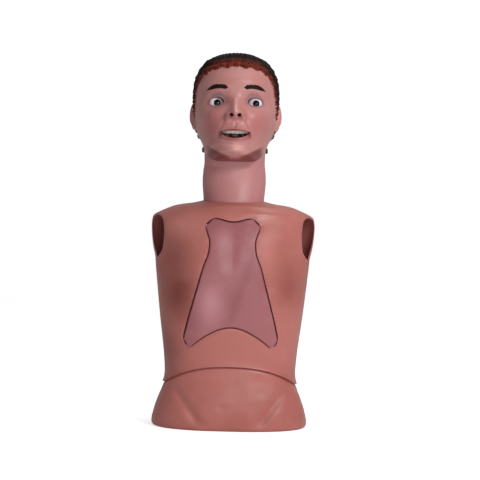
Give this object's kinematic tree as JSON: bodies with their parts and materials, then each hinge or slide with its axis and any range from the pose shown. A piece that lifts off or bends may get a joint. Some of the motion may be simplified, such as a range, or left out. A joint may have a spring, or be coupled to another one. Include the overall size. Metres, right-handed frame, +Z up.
{
  "type": "gavage and intubation manikin",
  "caption": "head, neck and torso training manikin with an open mouth and nostrils that lead to a throat, windpipe, gullet, lungs and stomach; neck turns, head tilts, chest cover lifts off",
  "frame": {"origin": "centre of the flat underside of the abdomen base", "axes": "+Z up along the trunk, -Y the way the manikin faces, +X towards the viewer's right"},
  "size_m": [0.3042, 0.2246, 0.6901],
  "materials": {
    "skin": "moulded soft vinyl, satin",
    "plate": "moulded vinyl, satin, a little greyer",
    "face": "moulded soft vinyl with painted hair and brows",
    "eye": "glossy inserted eye",
    "tooth": "polished ivory",
    "mouth": "soft vinyl, wet look",
    "tube": "silicone rubber",
    "lung": "soft vinyl",
    "stomach": "soft vinyl",
    "frame": "moulded ABS",
    "black": "moulded nylon",
    "steel": "turned stainless steel"
  },
  "bodies": {
    "torso": {"abdomen_base": "skin", "thorax_shell": "skin", "window_frame": "frame", "organ_tray": "frame", "lung_left": "lung", "lung_right": "lung", "bronchial_tree": "tube", "gullet_lower": "tube", "stomach": "stomach", "neck_ring": "frame", "windpipe_lower_hose": "tube", "gullet_lower_hose": "tube"},
    "neck": {"neck_sleeve": "skin", "neck_retainer": "frame", "retainer_screw_1": "steel", "retainer_screw_2": "steel", "retainer_screw_3": "steel", "tilt_axle": "steel", "axle_knob_left": "black", "axle_knob_right": "black", "axle_spacer_left": "frame", "axle_spacer_right": "frame", "windpipe_upper_hose": "tube", "gullet_upper_hose": "tube"},
    "head": {"head_skin": "face", "eye_left": "eye", "eye_right": "eye", "nasal_passages": "mouth", "throat": "mouth", "mouth_lining": "mouth", "tongue": "mouth", "upper_teeth": "tooth", "lower_teeth": "tooth", "larynx": "mouth", "epiglottis": "mouth", "skull_frame": "frame"},
    "chest_plate": {"chest_plate": "plate"}
  },
  "joints": [
    {"name": "neck_turn", "type": "hinge", "parent": "torso", "child": "neck", "pos_m": [0, 0.008, 0.4155], "axis": [0, 0, 1], "range_deg": [-40, 40], "deforming": ["windpipe_lower_hose", "gullet_lower_hose"]},
    {"name": "head_tilt", "type": "hinge", "parent": "neck", "child": "head", "pos_m": [0, 0.008, 0.509], "axis": [1, 0, 0], "range_deg": [-25, 18], "deforming": ["windpipe_upper_hose", "gullet_upper_hose"]},
    {"name": "chest_plate_lift", "type": "slide", "parent": "torso", "child": "chest_plate", "axis": [0, -1, 0], "range_m": [0, 0.12]}
  ]
}
